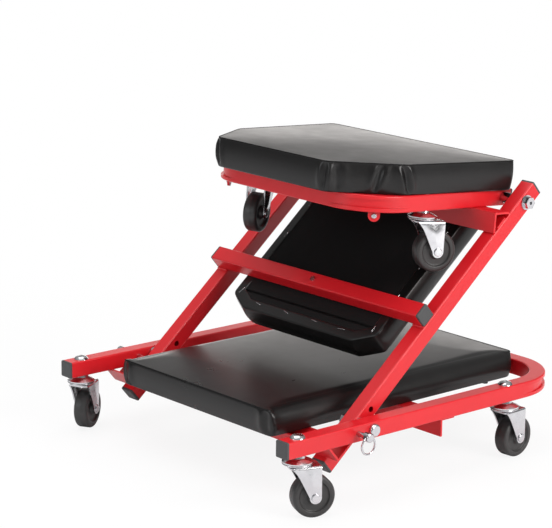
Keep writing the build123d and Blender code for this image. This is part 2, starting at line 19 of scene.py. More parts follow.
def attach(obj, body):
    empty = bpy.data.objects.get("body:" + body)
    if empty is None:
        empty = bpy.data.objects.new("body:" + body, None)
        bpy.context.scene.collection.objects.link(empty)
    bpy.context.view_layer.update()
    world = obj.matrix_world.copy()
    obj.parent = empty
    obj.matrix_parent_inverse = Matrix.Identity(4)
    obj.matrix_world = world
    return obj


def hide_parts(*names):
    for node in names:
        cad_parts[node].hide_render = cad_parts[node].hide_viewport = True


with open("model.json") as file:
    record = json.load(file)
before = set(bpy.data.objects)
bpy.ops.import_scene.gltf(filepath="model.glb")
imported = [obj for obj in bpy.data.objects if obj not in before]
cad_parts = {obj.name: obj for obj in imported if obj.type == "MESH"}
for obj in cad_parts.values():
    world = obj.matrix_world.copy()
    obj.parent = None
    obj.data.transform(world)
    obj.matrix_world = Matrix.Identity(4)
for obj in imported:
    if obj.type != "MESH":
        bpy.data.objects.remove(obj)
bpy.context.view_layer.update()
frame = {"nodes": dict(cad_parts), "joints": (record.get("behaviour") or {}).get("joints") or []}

logging.basicConfig(level=logging.INFO, format="%(name)s: %(message)s")
LOG = logging.getLogger("creeper")

MM = 0.001
Array = np.ndarray


class Body(str, Enum):
    """Moving bodies that carry the new pieces."""

    LOWER = "lower_frame"
    MIDDLE = "middle_frame"
    HEAD = "head_frame"


@dataclass(frozen=True)
class LocalPlane:
    """Plane of one folding frame: x along its tubes, y to the left, z square to the frame.

    Args:
        origin: Where the plane's zero lies, in metres.
        turn: Degrees that the plane leans up about the y axis; a rise along +x is positive.
    """

    origin: tuple[float, float, float]
    turn: float = 0.0

    def axes(self) -> Array:
        """Return the plane's x, y and z directions as rows."""
        lean = math.radians(self.turn)
        return np.array([(math.cos(lean), 0.0, math.sin(lean)), (0.0, 1.0, 0.0),
                         (-math.sin(lean), 0.0, math.cos(lean))])

    def out(self, points: Array) -> Array:
        """Turn local millimetres into the row's metres.

        Args:
            points: Array whose last axis holds x, y and z.

        Returns:
            The same points in the row's frame.
        """
        return np.asarray(self.origin) + (points * MM) @ self.axes()


def joint(name: str) -> tuple[Array, Array]:
    """Return a joint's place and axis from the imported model."""
    made = next(j for j in frame["joints"] if j["name"] == name)
    return np.array(made["pos_m"], float), np.array(made["axis"], float)


# The lower plane starts at the open rail ends, the other two at their hinges.
SETBACK = 127.5
LOW_HINGE, HEAD_HINGE = joint("middle_fold")[0], joint("head_fold")[0]
LOWER_PLANE = LocalPlane((LOW_HINGE[0] - SETBACK * MM, 0.0, LOW_HINGE[2]))
MIDDLE_PLANE = LocalPlane(tuple(LOW_HINGE), 40.3)
HEAD_PLANE = LocalPlane(tuple(HEAD_HINGE), -4.3)


# Mesh helpers

def make_object(name: str, points: Array, faces: Array, body: str, material: bpy.types.Material
                ) -> bpy.types.Object:
    """Put whole arrays of points and faces into a new object that rides on a body.

    Args:
        name: Name of the piece.
        points: Points in metres, one row each.
        faces: Quads as rows of four point numbers.
        body: Body that carries the piece.
        material: Finish of the whole piece.

    Returns:
        The new object, at the origin, with its place in its mesh.
    """
    mesh = bpy.data.meshes.new(name)
    mesh.from_pydata(points.reshape(-1, 3).tolist(), [], faces.reshape(-1, faces.shape[-1]).tolist())
    mesh.validate()
    mesh.polygons.foreach_set("use_smooth", np.full(len(mesh.polygons), True))
    mesh.materials.append(material)
    mesh.update()
    piece = bpy.data.objects.new(name, mesh)
    bpy.context.scene.collection.objects.link(piece)
    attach(piece, body)
    LOG.info("%s: %d faces", name, len(mesh.polygons))
    return piece


def grid_faces(rows: int, columns: int, wrap_rows: bool = False, wrap_columns: bool = False) -> Array:
    """Number the quads of a grid of points, closed where asked.

    Args:
        rows: Points along the first axis.
        columns: Points along the second axis.
        wrap_rows: Whether the last row joins the first.
        wrap_columns: Whether the last column joins the first.

    Returns:
        One row of four point numbers for each quad.
    """
    i, j = np.meshgrid(np.arange(rows if wrap_rows else rows - 1),
                       np.arange(columns if wrap_columns else columns - 1), indexing="ij")
    below, beside = (i + 1) % rows, (j + 1) % columns
    quads = np.stack([i * columns + j, below * columns + j, below * columns + beside,
                      i * columns + beside], axis=-1)
    return quads.reshape(-1, 4)


def smooth_step(value: Array, low: float, high: float) -> Array:
    """Rise from 0 at low to 1 at high along 3t^2 - 2t^3."""
    t = np.clip((value - low) / (high - low), 0.0, 1.0)
    return t * t * (3.0 - 2.0 * t)


def swept_tube(path: Array, radius: Array | float, sides: int = 8, closed: bool = False,
               up: tuple[float, float, float] = (0, 0, 1)) -> tuple[Array, Array]:
    """Carry a ring along a path: point = path + r (cos a * side + sin a * rise).

    Args:
        path: Points of the path, one row each.
        radius: One radius, or one for each point.
        sides: Points round the ring.
        closed: Whether the path runs back into its start.
        up: Direction that the ring's rise stays near.

    Returns:
        The points and the quads of the tube; open ends close onto their middle.
    """
    if closed:
        along = np.roll(path, -1, axis=0) - np.roll(path, 1, axis=0)
    else:
        along = np.gradient(path, axis=0)
    along /= np.linalg.norm(along, axis=1, keepdims=True)
    side = np.cross(along, np.asarray(up, float))
    side /= np.maximum(np.linalg.norm(side, axis=1, keepdims=True), 1e-9)
    rise = np.cross(side, along)
    reach = np.broadcast_to(np.asarray(radius, float), (len(path),)).copy()
    if not closed:
        path = np.concatenate([path[:1], path, path[-1:]])
        side = np.concatenate([side[:1], side, side[-1:]])
        rise = np.concatenate([rise[:1], rise, rise[-1:]])
        reach = np.concatenate([[1e-5], reach, [1e-5]])
    turn = np.linspace(0.0, 2.0 * np.pi, sides, endpoint=False)
    ring = (np.cos(turn)[None, :, None] * side[:, None, :]
            + np.sin(turn)[None, :, None] * rise[:, None, :])
    points = path[:, None, :] + reach[:, None, None] * ring
    return points, grid_faces(len(path), sides, wrap_rows=closed, wrap_columns=True)


def revolved(profile: Array, origin: Array, axis: Array, across: Array, steps: int = 72
             ) -> tuple[Array, Array]:
    """Turn a profile of (distance out, distance along) pairs about an axis.

    Each point is origin + along * axis + out * (cos a * across + sin a * (axis x across)).

    Args:
        profile: Pairs of millimetres.
        origin: Point on the axis, in metres.
        axis: Direction of the axis.
        across: Direction square to the axis where the turn starts.
        steps: Points round the turn.

    Returns:
        The points and the quads.
    """
    axis = np.asarray(axis, float) / np.linalg.norm(axis)
    across = np.asarray(across, float) - np.dot(across, axis) * axis
    across /= np.linalg.norm(across)
    third = np.cross(axis, across)
    turn = np.linspace(0.0, 2.0 * np.pi, steps, endpoint=False)
    around = np.cos(turn)[:, None] * across + np.sin(turn)[:, None] * third
    points = (np.asarray(origin, float) + MM * profile[None, :, 1, None] * axis
              + MM * profile[None, :, 0, None] * around[:, None, :])
    return points, grid_faces(steps, len(profile), wrap_rows=True)


def joined(parts: list[tuple[Array, Array]]) -> tuple[Array, Array]:
    """Join several point and face arrays into one pair."""
    points, faces, start = [], [], 0
    for some_points, some_faces in parts:
        flat = some_points.reshape(-1, 3)
        points.append(flat)
        faces.append(some_faces + start)
        start += len(flat)
    return np.concatenate(points), np.concatenate(faces)


# Finishes

class Nodes:
    """Small writer for one node tree."""

    def __init__(self, tree: bpy.types.NodeTree) -> None:
        """Keep the tree."""
        self.tree = tree

    def add(self, kind: str, inputs: dict | None = None, **settings) -> bpy.types.Node:
        """Add a node, set its settings, and set or link its inputs.

        Args:
            kind: Type name of the node.
            inputs: Socket name or number to a value or an output socket.
            settings: Attributes of the node.

        Returns:
            The new node.
        """
        made = self.tree.nodes.new(kind)
        for key, value in settings.items():
            setattr(made, key, value)
        for key, value in (inputs or {}).items():
            if isinstance(value, bpy.types.NodeSocket):
                self.tree.links.new(value, made.inputs[key])
            else:
                made.inputs[key].default_value = value
        return made

    def maths(self, operation: str, a: object, b: object = 0.0) -> bpy.types.NodeSocket:
        """Add one Math node and return its value."""
        return self.add("ShaderNodeMath", {0: a, 1: b}, operation=operation).outputs[0]

    def spread(self, value: bpy.types.NodeSocket, low: float, high: float, to_low: float,
               to_high: float) -> bpy.types.NodeSocket:
        """Map a value from one range to another, held at the ends."""
        return self.add("ShaderNodeMapRange", {"Value": value, "From Min": low, "From Max": high,
                                               "To Min": to_low, "To Max": to_high}).outputs[0]


class Effects:
    """Shader node groups that several finishes share, each built once."""

    @staticmethod
    def _group(name: str, inputs: dict[str, tuple[str, float]], outputs: dict[str, str]
               ) -> tuple[bpy.types.NodeTree, Nodes, bpy.types.Node, bpy.types.Node]:
        """Start a node group with named inputs and outputs."""
        tree = bpy.data.node_groups.new(name, "ShaderNodeTree")
        for key, (kind, value) in inputs.items():
            socket = tree.interface.new_socket(name=key, in_out="INPUT", socket_type=kind)
            socket.default_value = value
        for key, kind in outputs.items():
            tree.interface.new_socket(name=key, in_out="OUTPUT", socket_type=kind)
        nodes = Nodes(tree)
        return tree, nodes, nodes.add("NodeGroupInput"), nodes.add("NodeGroupOutput")

    @classmethod
    def mottle(cls) -> bpy.types.NodeTree:
        """Return the group that varies tone: two sizes of noise make a mask around 0.5."""
        if "mottle" in bpy.data.node_groups:
            return bpy.data.node_groups["mottle"]
        tree, nodes, given, out = cls._group("mottle", {"Scale": ("NodeSocketFloat", 12.0)},
                                             {"Mask": "NodeSocketFloat"})
        place = nodes.add("ShaderNodeTexCoord").outputs["Object"]
        wide = nodes.add("ShaderNodeTexNoise", {"Vector": place, "Scale": given.outputs["Scale"],
                                                "Detail": 3.0})
        fine_scale = nodes.maths("MULTIPLY", given.outputs["Scale"], 9.0)
        fine = nodes.add("ShaderNodeTexNoise", {"Vector": place, "Scale": fine_scale, "Detail": 4.0})
        both = nodes.maths("ADD", nodes.maths("MULTIPLY", wide.outputs[0], 0.65),
                           nodes.maths("MULTIPLY", fine.outputs[0], 0.35))
        tree.links.new(both, out.inputs["Mask"])
        return tree

    @classmethod
    def pebble(cls) -> bpy.types.NodeTree:
        """Return the group for a pebbled skin: smooth cells broken by noise make a height."""
        if "pebble" in bpy.data.node_groups:
            return bpy.data.node_groups["pebble"]
        tree, nodes, given, out = cls._group("pebble", {"Scale": ("NodeSocketFloat", 900.0)},
                                             {"Height": "NodeSocketFloat"})
        place = nodes.add("ShaderNodeTexCoord").outputs["Object"]
        cells = nodes.add("ShaderNodeTexVoronoi", {"Vector": place, "Scale": given.outputs["Scale"],
                                                   "Smoothness": 0.6}, feature="SMOOTH_F1")
        folds = nodes.add("ShaderNodeTexNoise",
                          {"Vector": place, "Scale": nodes.maths("MULTIPLY", given.outputs["Scale"], 0.22),
                           "Detail": 5.0, "Roughness": 0.6})
        height = nodes.maths("ADD", nodes.maths("MULTIPLY", cells.outputs["Distance"], 0.7), folds.outputs[0])
        tree.links.new(height, out.inputs["Height"])
        return tree


@dataclass(frozen=True)
class Finish:
    """A finish with a tone that varies and a fine height.

    Args:
        name: Name of the material.
        colour: Main colour, linear.
        shade: Second colour that the mottle mixes in.
        roughness: Lowest and highest roughness.
        metallic: 1 for bare metal.
        grain: Cells of the pebbled height per metre.
        depth: Height of the grain in millimetres.
        mottle: Scale of the tone's variation.
        specular: Specular level.
    """

    name: str
    colour: tuple[float, float, float]
    shade: tuple[float, float, float]
    roughness: tuple[float, float]
    metallic: float = 0.0
    grain: float = 900.0
    depth: float = 0.02
    mottle: float = 12.0
    specular: float = 0.5

    def material(self) -> bpy.types.Material:
        """Build the material, or return it if it is built."""
        if self.name in bpy.data.materials:
            return bpy.data.materials[self.name]
        made = bpy.data.materials.new(self.name)
        made.use_nodes = True
        made.diffuse_color = (*self.colour, 1.0)
        nodes = Nodes(made.node_tree)
        shader = made.node_tree.nodes["Principled BSDF"]
        tone = nodes.add("ShaderNodeGroup", node_tree=Effects.mottle())
        tone.inputs["Scale"].default_value = self.mottle
        share = nodes.spread(tone.outputs["Mask"], 0.35, 0.65, 0.0, 1.0)
        colour = nodes.add("ShaderNodeMix", data_type="RGBA")
        colour.inputs["A"].default_value = (*self.colour, 1.0)
        colour.inputs["B"].default_value = (*self.shade, 1.0)
        made.node_tree.links.new(share, colour.inputs[0])
        made.node_tree.links.new(colour.outputs["Result"], shader.inputs["Base Color"])
        made.node_tree.links.new(nodes.spread(tone.outputs["Mask"], 0.35, 0.65, *self.roughness),
                                 shader.inputs["Roughness"])
        shader.inputs["Metallic"].default_value = self.metallic
        shader.inputs["Specular IOR Level"].default_value = self.specular
        skin = nodes.add("ShaderNodeGroup", node_tree=Effects.pebble())
        skin.inputs["Scale"].default_value = self.grain
        raised = nodes.add("ShaderNodeBump", {"Height": skin.outputs["Height"], "Strength": 1.0,
                                              "Distance": self.depth * MM})
        made.node_tree.links.new(raised.outputs["Normal"], shader.inputs["Normal"])
        return made


RED_COAT = Finish("red_powder_coat", (0.66, 0.010, 0.017), (0.61, 0.008, 0.014), (0.30, 0.36), grain=420.0,
                  depth=0.012, mottle=7.0)
VINYL = Finish("soft_vinyl", (0.0060, 0.0056, 0.0056), (0.0085, 0.0080, 0.0080), (0.27, 0.34), grain=950.0,
               depth=0.020, mottle=6.0, specular=0.36)
DUST_CLOTH = Finish("black_dust_cloth", (0.0060, 0.0058, 0.0060), (0.0085, 0.0082, 0.0085), (0.7, 0.85),
                    grain=1500.0, depth=0.12, mottle=60.0, specular=0.2)
BOARD = Finish("board_edge", (0.02, 0.018, 0.017), (0.03, 0.027, 0.024), (0.7, 0.85), grain=700.0,
               depth=0.08)
ZINC = Finish("bright_zinc", (0.66, 0.66, 0.68), (0.56, 0.56, 0.58), (0.15, 0.24), metallic=1.0,
              grain=700.0, depth=0.008, mottle=25.0)
PLUG = Finish("grey_plug", (0.050, 0.051, 0.053), (0.060, 0.061, 0.063), (0.5, 0.62), grain=1400.0,
              depth=0.03)
TYRE = Finish("black_wheel", (0.024, 0.023, 0.023), (0.034, 0.032, 0.032), (0.36, 0.46), grain=1100.0,
              depth=0.02, mottle=18.0)
FOOT = Finish("black_foot", (0.012, 0.012, 0.012), (0.018, 0.018, 0.018), (0.5, 0.6))


# Padding

COVER_CLOTH = {"use_pressure": True, "vertex_group_mass": "pinned", "quality": 5, "mass": 0.3,
               "tension_stiffness": 40.0, "compression_stiffness": 40.0, "shear_stiffness": 20.0,
               "bending_stiffness": 2.0}
HELD = 0.02    # a point this little free is pinned


@dataclass
class Cushion:
    """A vinyl-covered pad: crowned foam over a board, its cover folded under and stapled.

    The plan is convex and mirrored about its middle line. Its skin is one closed grid: a top patch, a
    belt that runs over the rolled edge, down the side and under, and a bottom patch.

    Args:
        name: Name of the piece.
        nodes: CAD nodes that the piece stands for.
        body: Body that carries it.
        plane: Plane of its underside.
        corners: Half of the plan, from the front middle to the rear middle, as (x, y, radius).
        thickness: Height at the crown.
        crown: Rise of the middle over the edge.
        edge: Radius of the rolled edge on the ends and on the sides.
        facing: 1 where the padded face looks along +z, -1 where it looks along -z.
        lift: Height of the underside in the plane.
        step: Distance between points along the rim.
        hem: Width of the cover folded under, held by staples.
        hem_height: Thickness of the hem over the dust cloth.
        swell: Bulge of the sides before the cloth is inflated.
        fill: How full the pad is; not used.
        pressure: Pressure of the cloth run.
        cap: Furthest that a point may move in it.
        gathers: Folds as (run from the front middle, width, depth, slant).
    """

    name: str
    nodes: tuple[str, ...]
    body: Body
    plane: LocalPlane
    corners: list[tuple[float, float, float]]
    thickness: float
    crown: float = 2.5
    edge: tuple[float, float] = (3.0, 3.0)
    facing: int = 1
    lift: float = 0.0
    step: float = 4.0
    hem: float = 16.0
    hem_height: float = 0.4
    swell: float = 1.2
    fill: float = 0.85
    pressure: float = 4.0
    cap: float = 2.2
    gathers: list[tuple[float, float, float, float]] = field(default_factory=list)

    def outline(self) -> tuple[Array, Array, int, int]:
        """Work out the plan's ring: straight runs joined by arcs, sampled evenly on each side.

        Returns:
            The ring's points, its outward normals, and how many points the front edge and one side have.
        """
        dense = [np.array([[self.corners[0][0], 0.0]])]
        half = [(self.corners[0][0], 0.0, 0.0), *self.corners, (self.corners[-1][0], 0.0, 0.0)]
        marks = []
        for before, here, after in zip(half[:-2], half[1:-1], half[2:]):
            a, b, c = (np.array(p[:2], float) for p in (before, here, after))
            to_a, to_c = (a - b) / np.linalg.norm(a - b), (c - b) / np.linalg.norm(c - b)
            bend = math.acos(float(np.clip(to_a @ to_c, -1.0, 1.0)))
            reach = here[2] / math.tan(bend / 2.0)
            centre = b + (to_a + to_c) / np.linalg.norm(to_a + to_c) * here[2] / math.sin(bend / 2.0)
            start, stop = b + to_a * reach - centre, b + to_c * reach - centre
            first = math.atan2(start[1], start[0])
            sweep = (math.atan2(stop[1], stop[0]) - first + math.pi) % (2.0 * math.pi) - math.pi
            turn = first + sweep * np.linspace(0.0, 1.0, 33)
            arc = centre + here[2] * np.stack([np.cos(turn), np.sin(turn)], axis=1)
            dense.append(arc)
            marks.append(arc[16])
        dense.append(np.array([[self.corners[-1][0], 0.0]]))
        line = np.concatenate(dense)
        length = np.concatenate([[0.0], np.cumsum(np.linalg.norm(np.diff(line, axis=0), axis=1))])

        def place(mark: Array) -> float:
            """Return how far along the half outline a mark lies."""
            return float(length[np.argmin(np.linalg.norm(line - mark, axis=1))])

        first, last, whole = place(marks[0]), place(marks[-1]), float(length[-1])
        across = max(4, int(round(first / self.step)))
        along = max(8, int(round((last - first) / self.step)))
        spots = np.concatenate([np.linspace(0.0, first, across + 1)[:-1],
                                np.linspace(first, last, along + 1)[:-1],
                                np.linspace(last, whole, across + 1)])
        left = np.stack([np.interp(spots, length, line[:, k]) for k in (0, 1)], axis=1)
        right = left[-2:0:-1] * (1.0, -1.0)
        ring = np.concatenate([left, right])
        tangent = np.roll(ring, -1, axis=0) - np.roll(ring, 1, axis=0)
        tangent /= np.linalg.norm(tangent, axis=1, keepdims=True)
        normal = np.stack([-tangent[:, 1], tangent[:, 0]], axis=1)
        return ring, normal, across, along

    def patch(self, ring: Array, across: int, along: int) -> tuple[Array, Array]:
        """Fill a ring with a Coons patch: each point is the mean of the rulings of both pairs of sides.

        Args:
            ring: Plan points, from the front middle through the left side.
            across: Points on half of the front edge.
            along: Points on one side.

        Returns:
            The inner points as a grid, and the ring numbers of the whole grid's rim.
        """
        count = len(ring)
        turned = np.arange(-across, count - across) % count
        front = turned[:2 * across + 1]
        left = turned[2 * across:2 * across + along + 1]
        rear = turned[2 * across + along:4 * across + along + 1]
        right = np.append(turned[4 * across + along:], turned[0])
        c0, c1 = ring[front], ring[rear[::-1]]
        d1, d0 = ring[left], ring[right[::-1]]
        s = np.linspace(0.0, 1.0, 2 * across + 1)[None, :, None]
        t = np.linspace(0.0, 1.0, along + 1)[:, None, None]
        ruled = (1 - t) * c0[None] + t * c1[None] + (1 - s) * d0[:, None] + s * d1[:, None]
        corner = ((1 - t) * (1 - s) * c0[0] + (1 - t) * s * c0[-1] + t * (1 - s) * c1[0]
                  + t * s * c1[-1])
        numbers = np.full((along + 1, 2 * across + 1), -1)
        numbers[0], numbers[-1], numbers[:, 0], numbers[:, -1] = front, rear[::-1], right[::-1], left
        return ruled - corner, numbers

    def edge_radius(self, normal: Array) -> Array:
        """Blend the rolled edge's radius between the ends and the sides by which way the rim faces."""
        ends, sides = self.edge
        return ends + (sides - ends) * smooth_step(np.abs(normal[:, 1]), 0.55, 0.95)

    def belt(self, ring: Array, normal: Array) -> tuple[Array, list[str]]:
        """Run the profile round the rim: hem, tucked edge, bulged side and rolled edge.

        Args:
            ring: Plan points of the rim.
            normal: Outward directions there.

        Returns:
            Points as an array of profile step, ring point and x, y, z, and a name for each step.
        """
        top = self.thickness - self.crown
        radius = self.edge_radius(normal)
        steps: list[tuple[Array, Array]] = []
        names: list[str] = []
        one = np.ones(len(ring))

        def put(name: str, inset: Array, height: Array) -> None:
            """Add one step of the profile."""
            steps.append((inset * one, height * one))
            names.append(name)

        put("cloth", self.hem + 0.6, 0.2 + self.hem_height)
        put("hem", self.hem, self.hem_height * 0.75)
        put("hem", self.hem - 0.8, 0.0)
        for inset in np.linspace(self.hem - 4.0, 5.0, 4):
            put("hem", inset, 0.0)
        for turn in np.linspace(0.0, math.pi / 2.0, 4):
            put("under", 1.4 + 2.2 * (1 - math.sin(turn)), 2.2 * (1 - math.cos(turn)))
        side_top = top - radius
        for share in np.linspace(0.12, 0.96, 7):
            lean = 1.4 * (1 - share) ** 2
            put("side", lean - self.swell * math.sin(math.pi * share), 2.2 + share * (side_top - 2.2))
        for turn in np.linspace(0.0, math.pi / 2.0, 6):
            put("roll", radius * (1 - math.cos(turn)), side_top + radius * math.sin(turn))
        inset, height = (np.stack(values) for values in zip(*steps))
        plan = ring[None] - normal[None] * inset[..., None]
        return np.concatenate([plan, height[..., None]], axis=2), names

    def raise_top(self, plan: Array, ring: Array) -> Array:
        """Return the crown's height over the edge: c (1 - a^2.6)(1 - b^2.6) on the plan's two shares."""
        low, high = ring[:, 0].min(), ring[:, 0].max()
        middle, half = (low + high) / 2.0, (high - low) / 2.0
        width = np.interp(plan[..., 0], *self._width_line(ring))
        a = np.clip(np.abs(plan[..., 0] - middle) / half, 0.0, 1.0)
        b = np.clip(np.abs(plan[..., 1]) / np.maximum(width, 1e-6), 0.0, 1.0)
        return self.crown * (1 - a ** 2.6) * (1 - b ** 2.6)

    @staticmethod
    def _width_line(ring: Array) -> tuple[Array, Array]:
        """Return the left half of the ring as x and y, in the order of x."""
        left = ring[ring[:, 1] > 0.5]
        order = np.argsort(left[:, 0])
        return left[order, 0], left[order, 1]

    def skin(self) -> tuple[Array, Array, Array, Array]:
        """Build the closed skin.

        Returns:
            Local points, quads, a mask of points that the simulation may move, and a mask of cloth faces.
        """
        ring, normal, across, along = self.outline()
        belt, names = self.belt(ring, normal)
        count, steps = len(ring), len(names)
        points = [belt.reshape(-1, 3)]
        faces = [grid_faces(steps, count, wrap_columns=True)]
        start = steps * count
        cloth_faces = [np.zeros(len(faces[0]), bool)]
        for is_top in (True, False):
            rim = belt[-1 if is_top else 0]
            plan, numbers = self.patch(rim[:, :2], across, along)
            height = np.full(plan.shape[:2], rim[0, 2])
            if is_top:
                height = height + self.raise_top(plan, rim[:, :2])
            grid = np.concatenate([plan, height[..., None]], axis=2)
            inner = numbers < 0
            numbers = numbers + (steps - 1) * count * is_top
            numbers[inner] = start + np.arange(int(inner.sum()))
            start += int(inner.sum())
            points.append(grid[inner])
            rows, columns = numbers.shape
            quads = numbers.reshape(-1)[grid_faces(rows, columns)]
            faces.append(quads if is_top else quads[:, ::-1])
            cloth_faces.append(np.full(len(quads), not is_top))
        flat = np.concatenate(points)
        free = self.loose(flat, belt, self.edge_radius(normal))
        return flat, np.concatenate(faces), free, np.concatenate(cloth_faces)

    def loose(self, flat: Array, belt: Array, radius: Array) -> Array:
        """Say how free each point is: held underneath and along a sewn edge, loose over a rolled one.

        Args:
            flat: All local points, the belt's first.
            belt: The belt's points by profile step.
            radius: The rolled edge's radius at each ring point.

        Returns:
            0 for a held point up to 1 for a free one.
        """
        sewn = 1.0 - smooth_step(radius, 4.0, 9.0)
        free = smooth_step(flat[:, 2], 4.0, 9.0)
        side_top = self.thickness - self.crown - radius
        band = belt.shape[0] * belt.shape[1]
        free[:band] *= (1.0 - sewn * smooth_step(belt[..., 2], side_top - 9.0, side_top)).reshape(-1)
        rim = belt[-1, ::2, :2]
        gap = np.linalg.norm(flat[band:, None, :2] - rim[None], axis=2)
        inside = smooth_step(gap.min(axis=1), 0.0, 28.0)
        free[band:] *= 1.0 - sewn[::2][gap.argmin(axis=1)] * (1.0 - inside)
        return free

    def placed(self, local: Array) -> Array:
        """Turn the pad's own points into the row's frame, upside down where it faces down."""
        out = local.copy()
        out[:, 2] = self.lift + self.facing * local[:, 2]
        return self.plane.out(out)

    def simulate(self, piece: bpy.types.Object, free: Array, rest: Array) -> Array:
        """Inflate the skin with Cloth, pinned underneath, and hold each point near its start.

        Args:
            piece: Object with the skin.
            free: Mask of points that may move.
            rest: Start points in metres.

        Returns:
            Points after the simulation, in metres.
        """
        pins = piece.vertex_groups.new(name="pinned")
        held = np.nonzero(free < HELD)[0]
        pins.add(held.tolist(), 1.0, "REPLACE")
        scene = bpy.context.scene
        scene.frame_start, scene.frame_end = 1, 20
        cloth = piece.modifiers.new("cloth", "CLOTH")
        for key, value in COVER_CLOTH.items():
            setattr(cloth.settings, key, value)
        cloth.settings.uniform_pressure_force = self.pressure
        cloth.settings.effector_weights.gravity = 0.0
        cloth.collision_settings.use_collision = False
        for number in range(scene.frame_start, scene.frame_end + 1):
            scene.frame_set(number)
        graph = bpy.context.evaluated_depsgraph_get()
        mesh = piece.evaluated_get(graph).to_mesh()
        moved = np.empty(len(mesh.vertices) * 3)
        mesh.vertices.foreach_get("co", moved)
        piece.evaluated_get(graph).to_mesh_clear()
        piece.modifiers.remove(cloth)
        scene.frame_set(1)
        shift = moved.reshape(-1, 3) - rest
        length = np.linalg.norm(shift, axis=1, keepdims=True)
        limit = self.cap * MM * free[:, None]
        return rest + shift * np.minimum(1.0, limit / np.maximum(length, 1e-9))

    def gather(self, local: Array) -> Array:
        """Press folds into the sides at the corners.

        Each fold is a bell across the rim's run and a bell down the side; its depth moves the point
        along the plan's normal.

        Args:
            local: Local points in millimetres.

        Returns:
            The points with the folds.
        """
        if not self.gathers:
            return local
        ring, normal, _, _ = self.outline()
        run = np.concatenate([[0.0], np.cumsum(np.linalg.norm(np.diff(ring, axis=0), axis=1))])
        whole = run[-1] + float(np.linalg.norm(ring[0] - ring[-1]))
        gap = np.linalg.norm(local[:, None, :2] - ring[None, ::3], axis=2)
        near = np.argmin(gap, axis=1) * 3
        rim = np.abs(np.take_along_axis(gap, (near // 3)[:, None], axis=1)[:, 0]) < 9.0
        place = run[near] + np.einsum("ij,ij->i", local[:, :2] - ring[near],
                                      np.stack([-normal[near, 1], normal[near, 0]], axis=1) * -1.0)
        high = np.clip(local[:, 2] / (self.thickness - self.crown), 0.0, 1.0)
        out = local.copy()
        push = np.zeros(len(local))
        for where, width, depth, slant in self.gathers:
            for spot in (where, whole - where):
                sign = 1.0 if spot == where else -1.0
                line = spot + sign * slant * (high - 0.5)
                off = np.abs((place - line + whole / 2.0) % whole - whole / 2.0)
                lip = np.exp(-((off - 1.9 * width) / (1.2 * width)) ** 2)
                shape = np.exp(-(off / width) ** 2) - 0.45 * lip
                push += depth * shape * smooth_step(high, 0.02, 0.3) * (1.0 - smooth_step(high, 0.8, 1.0))
        out[:, :2] -= normal[near] * (push * rim)[:, None]
        return out

    def build(self) -> None:
        """Build the pad, inflate it, press its folds, let it stand for its CAD nodes, and sew it."""
        local, faces, free, cloth_faces = self.skin()
        if self.facing < 0:
            faces = faces[:, ::-1]
        rest = self.placed(local)
        piece = make_object(self.name, rest, faces, self.body.value, VINYL.material())
        piece.data.materials.append(DUST_CLOTH.material())
        piece.data.polygons.foreach_set("material_index", cloth_faces.astype(np.int32))
        moved = self.simulate(piece, free, rest)
        back = (moved - np.asarray(self.plane.origin)) / MM @ self.plane.axes().T
        back[:, 2] = (back[:, 2] - self.lift) * self.facing
        local = back
        local = self.gather(local)
        piece.data.vertices.foreach_set("co", self.placed(local).reshape(-1))
        piece.data.update()
        finer = piece.modifiers.new("finer", "SUBSURF")
        finer.levels = finer.render_levels = 1
        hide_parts(*self.nodes)
        self.seam(local)

    def seam(self, local: Array, radius: float = 0.9, sink: float = 0.1) -> bpy.types.Object:
        """Lay the thin sewn seam along the top edge: all round, or on the ends where the sides roll.

        Args:
            local: The finished pad's own points.
            radius: Radius of the seam.
            sink: How far its middle lies in the cover.

        Returns:
            The seam, which follows the finished cover.
        """
        ring, normal, across, along = self.outline()
        _, names = self.belt(ring, normal)
        row = (len(names) - 3) * len(ring)
        path = local[row:row + len(ring)] - np.append(normal, np.ones((len(ring), 1)), axis=1) * sink
        path = self.placed(path)
        if self.edge[1] < 2.0 * self.edge[0]:
            parts = [swept_tube(path, radius * MM, sides=6, closed=True)]
        else:
            span = np.arange(1 - across, across)
            parts = [swept_tube(path[(span + shift) % len(ring)], radius * MM, sides=6)
                     for shift in (0, len(ring) // 2)]
        points, faces = joined(parts)
        piece = make_object(f"{self.name}_seam", points, faces, self.body.value, DUST_CLOTH.material())
        return piece


# Studio and camera

@dataclass(frozen=True)
class PhotoCamera:
    """Camera at the photograph's angle.

    Args:
        target: Point that the middle of the picture looks at, in metres.
        yaw: Degrees from +y towards +x that the camera looks along.
        down: Degrees that it looks down.
        roll: Degrees that the picture is turned.
        distance: Metres from the target.
        focal: Focal length in pixels of a picture 552 wide.
    """

    target: tuple[float, float, float] = (-0.0664, 0.0, 0.2321)
    yaw: float = 40.944
    down: float = 13.505
    roll: float = 0.673
    distance: float = 2.6785
    focal: float = 2224.7
    width: int = 552

    def build(self) -> bpy.types.Object:
        """Make the camera and set it as the scene's."""
        yaw, down, roll = (math.radians(v) for v in (self.yaw, self.down, self.roll))
        ahead = Vector((math.cos(down) * math.sin(yaw), math.cos(down) * math.cos(yaw), -math.sin(down)))
        right = Vector((math.cos(yaw), -math.sin(yaw), 0.0))
        up = right.cross(ahead)
        right, up = (right * math.cos(roll) + up * math.sin(roll),
                     up * math.cos(roll) - right * math.sin(roll))
        data = bpy.data.cameras.new("photo_camera")
        data.sensor_width = 36.0
        data.sensor_fit = "HORIZONTAL"
        data.lens = self.focal / self.width * data.sensor_width
        data.clip_end = 50.0
        camera = bpy.data.objects.new("photo_camera", data)
        place = Vector(self.target) - ahead * self.distance
        camera.matrix_world = Matrix.Translation(place) @ Matrix((right, up, -ahead)).transposed().to_4x4()
        bpy.context.scene.collection.objects.link(camera)
        bpy.context.scene.camera = camera
        return camera


AIM = (-0.02, 0.0, 0.15)    # where every lamp looks, near the creeper's middle


